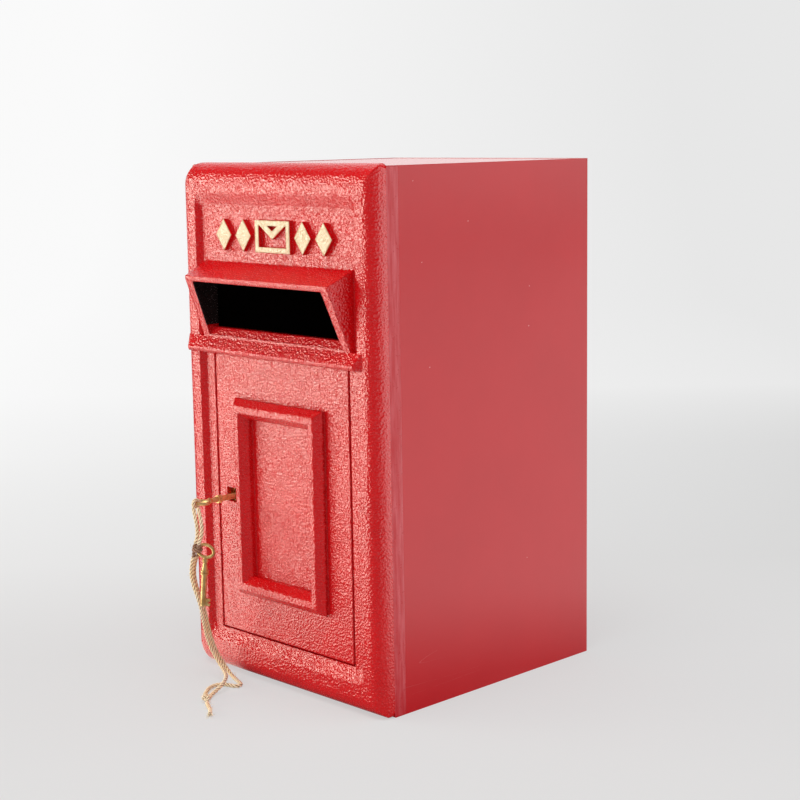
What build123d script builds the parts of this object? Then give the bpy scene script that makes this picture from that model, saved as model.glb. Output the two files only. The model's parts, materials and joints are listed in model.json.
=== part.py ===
from build123d import *
import math
import os

# Cast iron letter box, in millimetres. X runs across the front, Y goes from the front to the back and
# Z is up. The origin is on the floor, midway between the border's crest and the casing's back.

# Front casting: widths of its border, measured in from the outer edge
front_width = 246.0
rim_depth = 16.0
border_round = 13.0
foot_round = 15.0
left_corner_round = 20.0
top_round_depth = 15.5
top_round_fall = 18.0
right_corner_round = 5.0
pocket_round = 8.0
crest_width = 8.0
side_slope = 4.5
top_slope = 9.5
bottom_slope = 10.0
panel_drop = 5.0
plate = 5.0
rim_wall = 7.0

# Front casting: heights, from the floor upwards
bottom_border = 36.0
sill_strip = 2.0
side_strip = 10.0
door_opening_height = 250.0
nose_rise = 3.0
ledge_slope = 11.0
slot_sill = 8.0
slot_height = 41.0
lip = 5.0
lip_face = 2.5
hood_fall = 11.5
sign_height = 49.0
top_border = 35.5

# Slot hood and ledge
hood_reach = 21.0
hood_half_width = 95.0
hood_taper = 3.6
slot_half_width = 86.0
slot_taper = 3.5
hood_wall = 5.5
sill_depth = 4.0
sill_lip = 1.5
nose_reach = 6.0
nose_face = 1.6
nose_undercut = 2.0
ledge_left_end = 116.0
ledge_right_end = 108.0
ledge_end_bevel = 5.5

# Sign relief
relief_height = 27.0
relief_rise = 4.0
relief_below_middle = 1.0
relief_line = 4.5
envelope_width = 44.0
lozenge_width = 20.0
lozenges_each_side = 2
relief_gap = 6.0

# Door and its moulding
door_gap = 2.0
door_end_gap = 1.5
moulding_margin = 28.3
moulding_low = 36.0
moulding_high = 36.3
moulding_width = 17.5
moulding_crest = 5.5
moulding_rise = 10.0
moulding_step = 3.0
moulding_undercut = 1.2
moulding_soft = 2.0
door_field_drop = 2.0
stop_inset = 30.0
stop_length = 20.0
stop_depth = 4.0
stop_lap = 5.0
stop_gap = 0.3

# Hinge: its axis is behind the door, set in from the hinge edge
hinge_inset = 18.5
hinge_behind = 4.0
pin_radius = 2.4
running_gap = 0.05
knuckle_radius = 4.9
knuckle_height = 16.0
lug_height = 8.0
pin_head_radius = 3.6
pin_head = 2.0
washer_radius = 3.8
washer_thickness = 1.0

# Lock
lock_inset = 19.5
lock_height = 161.0
lock_size = (36.0, 44.0)
lock_face_thickness = 1.5
lock_body_depth = 8.5
keyhole_left = 9.5
keyhole_right = 3.2
keyhole_low = 5.5
keyhole_high = 7.0
plug_radius = 7.0
plug_flange_radius = 9.0
plug_flange = 1.6
plug_play = 0.1
tail_radius = 4.0
cam_gap = 0.3
cam_thickness = 2.5
cam_length = 27.0
cam_width = 10.0
cam_washer_radius = 5.5
cam_washer_thickness = 0.8
cam_screw_radius = 1.5
cam_screw_length = 3.2
cam_head_radius = 2.8
cam_head = 2.0
drill_pin_radius = 1.2
drill_pin_length = 6.7
drill_pin_root = 0.9
key_play = 0.1
key_end_gap = 0.3
bit_play = 0.3
flange_play = 0.3
tip_gap = 0.3
lock_screw_radius = 1.5
lock_screw_head = 3.0
lock_screw_cone = 1.5
lock_screw_sunk = 0.5
lock_screw_floor = 1.5
lock_screw_spread = (27.0, 35.0)
keeper_overlap = 5.5
keeper_height = 22.0

# Keys: sizes along the shank count from the middle of the bow
bow_half_width = 7.8
bow_half_length = 5.6
bow_end_round = 4.2
bow_wire = 1.4
neck_radius = 1.7
bead_radius = 2.6
bead_at = 8.8
taper_from = 11.2
shank_from = 15.6
collar_radius = 3.4
collar_width = 1.5
collar_at = 18.2
collar_pitch = 2.3
shank_radius = 2.5
key_end = 49.4
key_bore = 1.4
key_bore_depth = 9.0
bit_reach = 6.5
bit_length = 6.4
bit_thickness = 1.8
bit_back = 0.6
bit_root = 0.7
ward_cut = 1.8
key_inside = 18.0

# Casing
case_depth = 248.0
casting_proud = 2.0
sheet = 1.2
fold_radius = 3.0
front_flange = 14.0
tray_flange = 12.0
tray_drop = 0.4
flange_gap = 0.4
wall_hole_radius = 3.5
wall_hole_spread = (160.0, 300.0)
front_screw_radius = 2.0
front_screw_hole = 2.2
front_screw_length = 11.5
front_screw_head = 3.8
front_head = 2.4
driver_slot = 0.9
front_washer_radius = 4.8
front_washer = 0.8
boss_radius = 6.0
boss_inset = 9.5
boss_end_gap = 1.0
boss_hole_extra = 1.0
side_screw_rows = (60.0, 225.0, 390.0)
end_screw_half = 60.0
sealant_lap = 0.6
sealant_width = 12.0
sealant_skin = 0.35
sealant_thin_edge = 4.0
sealant_end_gap = 1.0

# Twine
twine = 3.6
spare_key_lean = 5.0
spare_key_turn = 25.0

# How far joined solids reach into each other, and cutters past a face
overlap = 1.0

# Planes and heights that follow from the sizes above
front = -(rim_depth + case_depth) / 2
seam = front + rim_depth
back = seam + case_depth
panel = front + panel_drop
plate_back = panel + plate
half = front_width / 2
crest_half = half - border_round - crest_width
foot_half = crest_half - side_slope
opening_low = bottom_border + sill_strip
opening_high = opening_low + door_opening_height
nose = opening_high + nose_rise
ledge_top = nose + ledge_slope
slot_low = ledge_top + slot_sill
lip_low = slot_low + slot_height
lip_high = lip_low + lip
hood_root = lip_high + hood_fall
sign_top = hood_root + sign_height
height = sign_top + top_border
case_height = height - casting_proud
opening_half = foot_half - side_strip
door_half = opening_half - door_gap
door_low = opening_low + door_end_gap
door_high = opening_high - door_end_gap
hinge_x = door_half - hinge_inset
hinge_y = plate_back + hinge_behind
low_lug_top = door_low - washer_thickness - 2 * running_gap
high_lug_foot = door_high + washer_thickness + 2 * running_gap
lock_x = -door_half + lock_inset
body_front = plate_back + lock_face_thickness
body_back = body_front + lock_body_depth
cam_front = body_back + cam_gap
cam_back = cam_front + cam_thickness
bow_y = front + key_inside - key_end
bore_end = front + key_inside + key_end_gap
drill_pin_end = bore_end + drill_pin_root
tail_end = cam_back + plug_play


def block(x0, x1, y0, y1, z0, z1):
    """A box between two corners."""
    return Pos((x0 + x1) / 2, (y0 + y1) / 2, (z0 + z1) / 2) * Box(x1 - x0, y1 - y0, z1 - z0)


def rod_y(x, z, radius, y0, y1):
    """A round bar along Y."""
    return Pos(x, (y0 + y1) / 2, z) * Rot(90, 0, 0) * Cylinder(radius, y1 - y0)


def rod_z(x, y, radius, z0, z1):
    """A round bar along Z."""
    return Pos(x, y, (z0 + z1) / 2) * Cylinder(radius, z1 - z0)


def side_shape(points, half_length):
    """A solid with the outline of (y, z) points, drawn out to both sides along X."""
    outline = Polyline(*[(-half_length, y, z) for y, z in points], close=True)
    return extrude(make_face(outline), 2 * half_length, dir=(1, 0, 0))


def plan_shape(points, z0, z1):
    """A solid with the outline of (x, y) points, between two heights."""
    outline = Polyline(*[(x, y, z0) for x, y in points], close=True)
    return extrude(make_face(outline), z1 - z0, dir=(0, 0, 1))


def front_rectangle(x_half, z0, z1, y, round_radius=0.0):
    """A rectangle that faces the front, at depth y."""
    place = Plane(origin=(0, y, (z0 + z1) / 2), x_dir=(1, 0, 0), z_dir=(0, -1, 0))
    if round_radius > 0:
        return place * RectangleRounded(2 * x_half, z1 - z0, round_radius)
    return place * Rectangle(2 * x_half, z1 - z0)


def bevelled(x_half, z0, z1, y, x_in, z_in, y_in, round_radius=0.0):
    """A block whose front and rear rectangles differ, such as a pocket with sloping sides."""
    inner = front_rectangle(x_half - x_in, z0 + z_in[0], z1 - z_in[1], y_in, round_radius)
    outer = front_rectangle(x_half, z0, z1, y, round_radius)
    return loft([outer, inner], ruled=True)


# Front casting


def casting_blank():
    """The outer form: its left corners are round, its right ones nearly square, and its front runs over."""
    whole = block(-half, half, front, seam, 0, height)
    left = fillet(whole.edges().filter_by(Axis.Y).group_by(Axis.X)[0], left_corner_round)
    left = fillet(left.edges().group_by(Axis.Y)[0].sort_by(Axis.X)[:-1], border_round)
    right = fillet(whole.edges().filter_by(Axis.Z).group_by(Axis.Y)[0].sort_by(Axis.X)[-1:], border_round)
    right &= fillet(whole.edges().filter_by(Axis.Y).group_by(Axis.X)[-1], right_corner_round)
    level = whole.edges().filter_by(Axis.X).group_by(Axis.Y)[0].group_by(Axis.Z)
    return (left & right & fillet(level[0], foot_round)) - beyond_top_round()


def beyond_top_round():
    """What the oval rounding takes off the upper front edge."""
    y, z = front + top_round_depth, height - top_round_fall
    corner = block(-half - overlap, half + overlap, front - overlap, y, z, height + overlap)
    side = Plane(origin=(-half - 2 * overlap, y, z), x_dir=(0, 1, 0), z_dir=(1, 0, 0))
    return corner - extrude(side * Ellipse(top_round_depth, top_round_fall), 2 * half + 4 * overlap)


def casting_pockets():
    """The sunk sign panel and door field, with their sloping inner sides."""
    cut_front = front - overlap
    past = 1 + overlap / panel_drop
    mouth_half = foot_half + side_slope * past
    middle = (nose + ledge_top) / 2
    upper = bevelled(
        mouth_half, middle, sign_top + top_slope * past, cut_front,
        side_slope * past, (0.0, top_slope * past), panel, pocket_round,
    )
    lower = bevelled(
        mouth_half, bottom_border - bottom_slope * past, middle, cut_front,
        side_slope * past, (bottom_slope * past, 0.0), panel, pocket_round,
    )
    return upper + lower


def hood():
    """The hood over the slot, before its mouth is cut."""
    slope = hood_fall / (hood_reach + panel_drop)
    side = side_shape(
        [
            (panel + overlap, hood_root + overlap * slope), (front - hood_reach, lip_high),
            (front - hood_reach, lip_high - lip_face), (front, ledge_top),
            (panel + overlap, ledge_top),
        ],
        hood_half_width + overlap,
    )
    plan = plan_shape(
        [
            (-hood_half_width, panel + overlap), (-hood_half_width + hood_taper, front - hood_reach),
            (hood_half_width - hood_taper, front - hood_reach), (hood_half_width, panel + overlap),
        ],
        ledge_top, sign_top,
    )
    return side & plan


def slot_space():
    """The mouth of the slot and its way through the plate."""
    slope = hood_fall / (hood_reach + panel_drop)
    mouth = front - hood_reach
    top = hood_root - hood_wall
    side = side_shape(
        [
            (mouth - overlap, lip_low - slope * overlap), (mouth + (top - lip_low) / slope, top),
            (seam + overlap, top), (seam + overlap, slot_low), (front + sill_depth, slot_low),
            (front, ledge_top + sill_lip), (mouth - overlap, ledge_top + sill_lip),
        ],
        slot_half_width,
    )
    narrow = slot_half_width - slot_taper
    plan = plan_shape(
        [
            (-slot_half_width, front), (-narrow, mouth), (-narrow, mouth - overlap),
            (narrow, mouth - overlap), (narrow, mouth), (slot_half_width, front),
            (slot_half_width, seam + overlap), (-slot_half_width, seam + overlap),
        ],
        ledge_top, sign_top,
    )
    return side & plan


def ledge():
    """The moulding under the slot: it slopes out to a nose and turns back to the door."""
    tip = front - nose_reach
    side = side_shape(
        [
            (panel + overlap, ledge_top), (front, ledge_top), (tip, nose + nose_face / 2),
            (tip, nose - nose_face / 2), (tip + nose_undercut, opening_high), (panel + overlap, opening_high),
        ],
        half,
    )
    left, right = -ledge_left_end, ledge_right_end
    plan = plan_shape(
        [
            (left, panel + overlap), (left, front + overlap), (left + ledge_end_bevel, tip),
            (right - ledge_end_bevel, tip), (right, front + overlap), (right, panel + overlap),
        ],
        opening_high, ledge_top,
    )
    return side & plan


def sign_relief():
    """A plain envelope between lozenges, raised on the sign panel."""
    middle = hood_root + sign_height / 2 - relief_below_middle
    place = Plane(origin=(0, panel, middle), x_dir=(1, 0, 0), z_dir=(0, -1, 0))
    w, h, t = envelope_width / 2, relief_height / 2, relief_line
    frame = Rectangle(2 * w, 2 * h) - Rectangle(2 * (w - t), 2 * (h - t))
    flap = Polyline((-w, h), (0, -t / 2), (w, h), (w - 2 * t, h), (0, t), (2 * t - w, h), close=True)
    shapes = frame + make_face(flap)
    r = lozenge_width / 2
    for count in range(lozenges_each_side):
        x = w + relief_gap + r + count * (lozenge_width + relief_gap)
        for middle_x in (-x, x):
            corners = ((middle_x - r, 0), (middle_x, h), (middle_x + r, 0), (middle_x, -h))
            shapes += make_face(Polyline(*corners, close=True))
    return extrude(place * shapes, relief_rise) + extrude(place * shapes, -overlap)


def screw_places():
    """Where the casing's front flanges are screwed to the casting."""
    places = []
    for side in (-1, 1):
        places += [(side * (half - boss_inset), z) for z in side_screw_rows]
        places += [(side * end_screw_half, z) for z in (boss_inset, case_height - boss_inset)]
    return places


def hinge_lug(z0, z1):
    """A lug behind the plate with a hole for a hinge pin."""
    web = block(
        hinge_x - knuckle_radius, hinge_x + knuckle_radius, plate_back - overlap, hinge_y, z0, z1
    )
    return web + rod_z(hinge_x, hinge_y, knuckle_radius, z0, z1)


def pin_hole(z0, z1):
    """A hole for a hinge pin through a lug or knuckle."""
    return rod_z(hinge_x, hinge_y, pin_radius + running_gap, z0 - overlap, z1 + overlap)


def door_stop(z):
    """A lug on the plate's back that reaches behind the door's free edge."""
    stop_back = plate_back + stop_depth
    low, high = z - stop_length / 2, z + stop_length / 2
    root = block(-foot_half, -opening_half, plate_back - overlap, stop_back, low, high)
    return root + block(-foot_half, -door_half + stop_lap, plate_back + stop_gap, stop_back, low, high)


def cast_front():
    cavity = half - rim_wall
    shape = casting_blank() - casting_pockets()
    shape -= block(-cavity, cavity, plate_back, seam + overlap, rim_wall, height - rim_wall)
    shape += ledge() + hood() + sign_relief()
    shape -= block(
        -opening_half, opening_half, front - overlap, seam + overlap, opening_low, opening_high
    )
    shape -= slot_space()
    depth = front_screw_length - sheet - front_washer + boss_hole_extra
    within = block(-half, half, front, seam, boss_end_gap, case_height - boss_end_gap)
    for x, z in screw_places():
        shape += rod_y(x, z, boss_radius, plate_back - overlap, seam) & within
    for x, z in screw_places():
        shape -= rod_y(x, z, front_screw_radius + running_gap, seam - depth, seam + overlap)
    lugs = ((low_lug_top - lug_height, low_lug_top), (high_lug_foot, high_lug_foot + lug_height))
    for z0, z1 in lugs:
        shape += hinge_lug(z0, z1)
        shape -= pin_hole(z0, z1)
    keeper_x = lock_x - cam_length + keeper_overlap
    keeper_low, keeper_high = lock_height - keeper_height / 2, lock_height + keeper_height / 2
    shape += block(-foot_half - overlap, keeper_x, plate_back - overlap, body_back, keeper_low, keeper_high)
    for z in (door_low + stop_inset, door_high - stop_inset):
        shape += door_stop(z)
    return shape


# Door


def door_moulding():
    """The raised rectangular frame on the door, bevelled to both sides of its crest."""
    x = door_half - moulding_margin
    z0, z1 = door_low + moulding_low, door_high - moulding_high
    bevel = (moulding_width - moulding_crest) / 2
    crest = panel - moulding_rise
    step = panel - moulding_step
    outer = bevelled(x, z0, z1, step, bevel, (bevel, bevel), crest)
    outer = fillet(outer.edges().group_by(Axis.Y)[0], moulding_soft)
    u = moulding_undercut
    outer += block(u - x, x - u, step - overlap, panel + overlap, z0 + u, z1 - u)
    x, z0, z1 = x - moulding_width, z0 + moulding_width, z1 - moulding_width
    inner = bevelled(x, z0, z1, step, -bevel, (-bevel, -bevel), crest)
    inner += block(-x - bevel, x + bevel, crest - overlap, crest, z0 - bevel, z1 + bevel)
    inner += block(-x, x, step, panel + 2 * overlap, z0, z1)
    return outer - inner


def cast_door():
    shape = block(-door_half, door_half, panel, plate_back, door_low, door_high)
    shape += door_moulding()
    x = door_half - moulding_margin - moulding_width
    z0, z1 = door_low + moulding_low + moulding_width, door_high - moulding_high - moulding_width
    shape -= block(-x, x, panel - overlap, panel + door_field_drop, z0, z1)
    shape -= block(
        lock_x - keyhole_left, lock_x + keyhole_right, panel - overlap, plate_back + overlap,
        lock_height - keyhole_low, lock_height + keyhole_high,
    )
    for z0, z1 in ((door_low, door_low + knuckle_height), (door_high - knuckle_height, door_high)):
        shape += hinge_lug(z0, z1)
        shape -= pin_hole(z0, z1)
    for x, z in lock_screw_places():
        shape -= rod_y(
            x, z, lock_screw_radius + running_gap, panel + lock_screw_floor, plate_back + overlap
        )
    return shape


def hinge_pin(low, high):
    """A headed pin that drops through a lug and a knuckle."""
    return rod_z(hinge_x, hinge_y, pin_radius, low, high) + rod_z(
        hinge_x, hinge_y, pin_head_radius, high, high + pin_head
    )


def hinge_washers():
    rings = []
    for z in (low_lug_top + running_gap, door_high + running_gap):
        ring = rod_z(hinge_x, hinge_y, washer_radius, z, z + washer_thickness)
        rings.append(ring - pin_hole(z, z + washer_thickness))
    return Compound(children=rings)


# Lock


def lock_screw_places():
    dx, dz = lock_screw_spread[0] / 2, lock_screw_spread[1] / 2
    return [(lock_x + sx * dx, lock_height + sz * dz) for sx in (-1, 1) for sz in (-1, 1)]


def lock_block(y0, y1):
    dx, dz = lock_size[0] / 2, lock_size[1] / 2
    return block(lock_x - dx, lock_x + dx, y0, y1, lock_height - dz, lock_height + dz)


def lock_rod(radius, y0, y1):
    """A round bar on the lock's axis."""
    return rod_y(lock_x, lock_height, radius, y0, y1)


def lock_face():
    shape = lock_block(plate_back, body_front)
    shape -= lock_rod(plug_radius, plate_back - overlap, body_front + overlap)
    for x, z in lock_screw_places():
        shape -= rod_y(x, z, lock_screw_radius + running_gap, plate_back - overlap, body_front + overlap)
    return shape


def countersink(x, z, less):
    """The cone under a lock screw's head, smaller all round by a little."""
    place = Pos(x, body_back - lock_screw_cone / 2, z) * Rot(-90, 0, 0)
    return place * Cone(lock_screw_radius - less, lock_screw_head - less, lock_screw_cone)


def lock_body():
    flange_room = plug_flange + 3 * plug_play
    shape = lock_block(body_front, body_back)
    shape -= lock_rod(plug_flange_radius + flange_play, body_front - overlap, body_front + flange_room)
    shape -= lock_rod(plug_radius + plug_play, body_front, body_back + overlap)
    for x, z in lock_screw_places():
        shape -= rod_y(x, z, lock_screw_radius + running_gap, body_front - overlap, body_back + overlap)
        shape -= countersink(x, z, 0.0)
    return shape


def lock_screws():
    tip = panel + lock_screw_floor + tip_gap
    screws = []
    for x, z in lock_screw_places():
        shank = rod_y(x, z, lock_screw_radius, tip, body_back - lock_screw_sunk)
        screws.append(shank + countersink(x, z, running_gap / 2))
    return Compound(children=screws)


def lock_plug():
    """The plug takes the key's barrel and bit, and its tail carries the cam."""
    flange_front = body_front + plug_play
    shape = lock_rod(plug_flange_radius, flange_front, flange_front + plug_flange)
    shape += lock_rod(plug_radius, flange_front, body_back)
    shape += lock_rod(tail_radius, body_back - overlap, tail_end)
    shape -= lock_rod(shank_radius + key_play, flange_front - overlap, bore_end)
    slot_half = bit_thickness / 2 + bit_play
    shape -= block(
        lock_x - bit_reach - key_play, lock_x, flange_front - overlap, bore_end,
        lock_height - slot_half, lock_height + slot_half,
    )
    shape -= lock_rod(drill_pin_radius, bore_end - overlap, drill_pin_end)
    shape -= lock_rod(cam_screw_radius + running_gap, tail_end - cam_screw_length, tail_end + overlap)
    return shape


def drill_pin():
    return lock_rod(drill_pin_radius, drill_pin_end - drill_pin_length, drill_pin_end)


def lock_cam():
    """The cam points down at rest and turns a quarter to reach behind the keeper."""
    hub = lock_rod(plug_radius, cam_front, cam_back)
    arm = block(
        lock_x - cam_width / 2, lock_x + cam_width / 2, cam_front, cam_back,
        lock_height - cam_length, lock_height,
    )
    arm = fillet(arm.edges().filter_by(Axis.Y).group_by(Axis.Z)[0], cam_width / 3)
    return hub + arm - lock_rod(tail_radius + running_gap, cam_front - overlap, cam_back + overlap)


def cam_washer():
    washer_back = tail_end + cam_washer_thickness
    ring = lock_rod(cam_washer_radius, tail_end, washer_back)
    return ring - lock_rod(cam_screw_radius + running_gap, tail_end - overlap, washer_back + overlap)


def driver_cut(x, z, head_back, head_radius):
    """The slot across a screw's head."""
    reach = head_radius + overlap
    side = driver_slot / 2
    return block(x - side, x + side, head_back - driver_slot, head_back + overlap, z - reach, z + reach)


def cam_screw():
    under_head = tail_end + cam_washer_thickness
    shank = lock_rod(cam_screw_radius, tail_end - cam_screw_length + tip_gap, under_head)
    head = lock_rod(cam_head_radius, under_head, under_head + cam_head)
    return shank + head - driver_cut(lock_x, lock_height, under_head + cam_head, cam_head_radius)


# Keys


def bow_quarter_arcs():
    """Centre, start angle and sweep of the four arcs of the oval bow."""
    a, b, r1 = bow_half_width, bow_half_length, bow_end_round
    r2 = ((a - r1) ** 2 + b ** 2 - r1 ** 2) / (2 * (b - r1))
    meet = math.degrees(math.atan2(r2 - b, a - r1))
    ends = [((a - r1, 0.0), r1, -meet, 2 * meet), ((r1 - a, 0.0), r1, 180 - meet, 2 * meet)]
    sides = [((0.0, b - r2), r2, meet, 180 - 2 * meet), ((0.0, r2 - b), r2, 180 + meet, 180 - 2 * meet)]
    return ends + sides


def key():
    """A barrel key: the bow's middle at the origin, the shank along +Y, the bit towards -X."""
    shape = None
    for (cx, cy), radius, start, sweep_angle in bow_quarter_arcs():
        section = Plane.XZ * Pos(radius, 0) * Circle(bow_wire)
        arc = Pos(cx, cy, 0) * Rot(0, 0, start) * revolve(section, Axis.Z, sweep_angle)
        shape = arc if shape is None else shape + arc
    shape += rod_y(0, 0, neck_radius, bow_half_length, collar_at)
    shape += Pos(0, bead_at, 0) * Sphere(bead_radius)
    taper = Cone(neck_radius, bead_radius, shank_from - taper_from)
    shape += Pos(0, (taper_from + shank_from) / 2, 0) * Rot(-90, 0, 0) * taper
    shape += rod_y(0, 0, shank_radius, shank_from, key_end)
    for turn in (0, 1):
        y0 = collar_at + turn * collar_pitch
        shape += rod_y(0, 0, collar_radius, y0 - collar_width / 2, y0 + collar_width / 2)
    bit_end = key_end - bit_back
    bit_start = bit_end - bit_length
    shape += block(
        -bit_reach, bit_root - shank_radius, bit_start, bit_end, -bit_thickness / 2, bit_thickness / 2
    )
    middle = (bit_start + bit_end) / 2
    shape -= block(
        -bit_reach - overlap, ward_cut - bit_reach, middle - ward_cut / 2, middle + ward_cut / 2,
        -bit_thickness, bit_thickness,
    )
    return shape - rod_y(0, 0, key_bore, key_end - key_bore_depth, key_end + overlap)


def hitch(radius):
    """One turn of twine round a bow's wire."""
    return Torus(radius, twine / 2)


hitch_radius = bow_wire + twine / 2 + running_gap
hitch_reach = hitch_radius + twine / 2
key_place = Pos(lock_x, bow_y, lock_height)
hitch_centre = (lock_x, bow_y - bow_half_length, lock_height)

# The spare key hangs by the left end of its bow, with its shank leaning a little
spare_hitch_centre = (-62.5, -172.0, 121.4)
swing_axis = (math.cos(math.radians(spare_key_turn)), math.sin(math.radians(spare_key_turn)), 0.0)


def spare_plane():
    lean = math.radians(spare_key_lean)
    ux, uy, _ = swing_axis
    to_hitch = Vector(-ux * math.cos(lean), -uy * math.cos(lean), math.sin(lean))
    down = Vector(-ux * math.sin(lean), -uy * math.sin(lean), -math.cos(lean))
    centre = Vector(*spare_hitch_centre) - to_hitch * bow_half_width
    return Plane(origin=centre, x_dir=to_hitch, z_dir=to_hitch.cross(down))


# Casing


def flange_holes():
    """The screws' holes through the front flanges."""
    holes = [rod_y(x, z, front_screw_hole, seam - overlap, seam + sheet + overlap) for x, z in screw_places()]
    return Compound(children=holes)


def case_wrap():
    """Both sides and the back in one sheet, folded at the rear corners, with flanges at the front."""
    outer = block(-half, half, seam, back, 0, case_height)
    outer = fillet(outer.edges().filter_by(Axis.Z).group_by(Axis.Y)[-1], fold_radius)
    inner = block(-half + sheet, half - sheet, seam - overlap, back - sheet, -overlap, case_height + overlap)
    inner = fillet(inner.edges().filter_by(Axis.Z).group_by(Axis.Y)[-1], fold_radius - sheet)
    shape = outer - inner
    low = tray_flange + 2 * flange_gap + sheet
    high = case_height - low
    for side in (-1, 1):
        x0, x1 = sorted((side * (half - sheet / 2), side * (half - front_flange)))
        shape += block(x0, x1, seam, seam + sheet, low, high)
    dx, dz = wall_hole_spread[0] / 2, wall_hole_spread[1] / 2
    for x in (-dx, dx):
        for z in (case_height / 2 - dz, case_height / 2 + dz):
            shape -= rod_y(x, z, wall_hole_radius, back - sheet - overlap, back + overlap)
    return shape - flange_holes()


def tray(z_plate, z_rim):
    """A shallow tray between the sides: its plate at one height, its flanges towards the other."""
    x, y0, y1 = half - sheet, seam, back - sheet
    up = 1 if z_rim > z_plate else -1
    low, high = sorted((z_plate, z_rim))
    outer = block(-x, x, y0, y1, low, high)
    outer = fillet(outer.edges().filter_by(Axis.Z).group_by(Axis.Y)[-1], fold_radius - sheet)
    in_low, in_high = (low + sheet, high + overlap) if up > 0 else (low - overlap, high - sheet)
    inner = block(-x + sheet, x - sheet, y0 + sheet, y1 - sheet, in_low, in_high)
    return outer - inner - flange_holes()


def front_screws():
    head_y = seam + sheet + front_washer
    screws = []
    for x, z in screw_places():
        shank = rod_y(x, z, front_screw_radius, head_y - front_screw_length, head_y)
        head = rod_y(x, z, front_screw_head, head_y, head_y + front_head)
        screws.append(shank + head - driver_cut(x, z, head_y + front_head, front_screw_head))
    return Compound(children=screws)


def front_washers():
    y0 = seam + sheet
    washers = []
    for x, z in screw_places():
        ring = rod_y(x, z, front_washer_radius, y0, y0 + front_washer)
        washers.append(ring - rod_y(x, z, front_screw_hole, y0 - overlap, y0 + front_washer + overlap))
    return Compound(children=washers)


def seam_sealant():
    """A thin bead over the joint between casting and sheet on each side, feathered at both edges."""
    beads = []
    for side in (-1, 1):
        skin = side * (half + sealant_skin)
        bead_front, bead_back = seam - sealant_lap, seam + sealant_width
        points = [
            (side * half, bead_front), (skin, bead_front + sealant_thin_edge),
            (skin, bead_back - sealant_thin_edge), (side * half, bead_back),
        ]
        beads.append(plan_shape(points, sealant_end_gap, case_height - sealant_end_gap))
    return Compound(children=beads)


# Twine: each strand's points are in order from its upper end

twine_routes = {
    "twine_upper_left": [
        (-65.2, -172.6, 156.1), (-62.4, -173.4, 150.0), (-60.8, -172.8, 142.0), (-61.2, -172.6, 133.5),
        (-63.6, -173.1, 126.6),
    ],
    "twine_upper_right": [
        (-60.2, -171.6, 158.2), (-55.8, -173.2, 152.0), (-53.4, -173.4, 144.0), (-53.8, -174.0, 135.0),
        (-58.0, -174.7, 126.2),
    ],
    "twine_lower_left": [
        (-65.6, -173.4, 117.2), (-67.2, -174.8, 110.4), (-69.9, -174.6, 97.4), (-67.0, -173.0, 84.1),
        (-64.2, -169.4, 70.0), (-68.6, -163.4, 52.0), (-73.0, -156.0, 33.0), (-71.2, -150.2, 18.7),
        (-59.3, -151.9, 11.2), (-46.6, -157.8, 9.4), (-37.0, -165.8, 8.8), (-32.4, -174.2, 6.4),
        (-31.8, -182.2, 2.8), (-28.8, -189.2, 1.8), (-24.6, -194.2, 1.8),
    ],
    "twine_lower_right": [
        (-66.2, -168.6, 117.0), (-70.9, -169.9, 106.6), (-72.0, -169.6, 94.2), (-68.9, -168.0, 80.9),
        (-66.3, -164.2, 67.1), (-69.6, -158.4, 49.7), (-73.5, -151.2, 31.8), (-72.8, -145.4, 17.7),
        (-67.9, -141.9, 8.0), (-61.0, -141.8, 2.9), (-51.8, -144.8, 1.8), (-42.6, -148.6, 1.8),
        (-36.2, -150.4, 1.8), (-31.6, -153.4, 1.8), (-31.9, -158.0, 1.8), (-37.2, -160.4, 1.8),
        (-43.0, -161.4, 1.8), (-47.8, -166.6, 1.8), (-46.8, -176.2, 1.8), (-38.6, -187.2, 1.8),
        (-27.6, -197.2, 1.8),
    ],
    "twine_tail": [
        (-17.2, -202.4, 1.8), (-10.4, -206.4, 1.8), (-0.6, -211.6, 1.8), (6.6, -217.8, 1.8),
    ],
}
knot_centre = (-21.6, -199.6, 4.2)
knot_radius = 4.2


def strand(name):
    """A tube of straight runs and tangent arcs along a strand's points."""
    points = [Vector(*p) for p in twine_routes[name]]
    runs = [b - a for a, b in zip(points, points[1:])]
    radii = []
    for before, after in zip(runs, runs[1:]):
        turn = math.radians(before.get_angle(after))
        radii.append(0.45 * min(before.length, after.length) / math.tan(turn / 2))
    path = FilletPolyline(*points, radius=radii)
    section = Plane(origin=points[0], z_dir=runs[0]) * Circle(twine / 2)
    tube = sweep(section, path=path)
    ratio = tube.volume / (math.pi * (twine / 2) ** 2 * path.length)
    shown = " ".join(f"{r / twine:.1f}" for r in radii)
    print(f"{name}: length {path.length:.1f}, volume ratio {ratio:.4f}, radii in diameters {shown}")
    return tube


def twine_knot():
    return Pos(*knot_centre) * Sphere(knot_radius)


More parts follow.
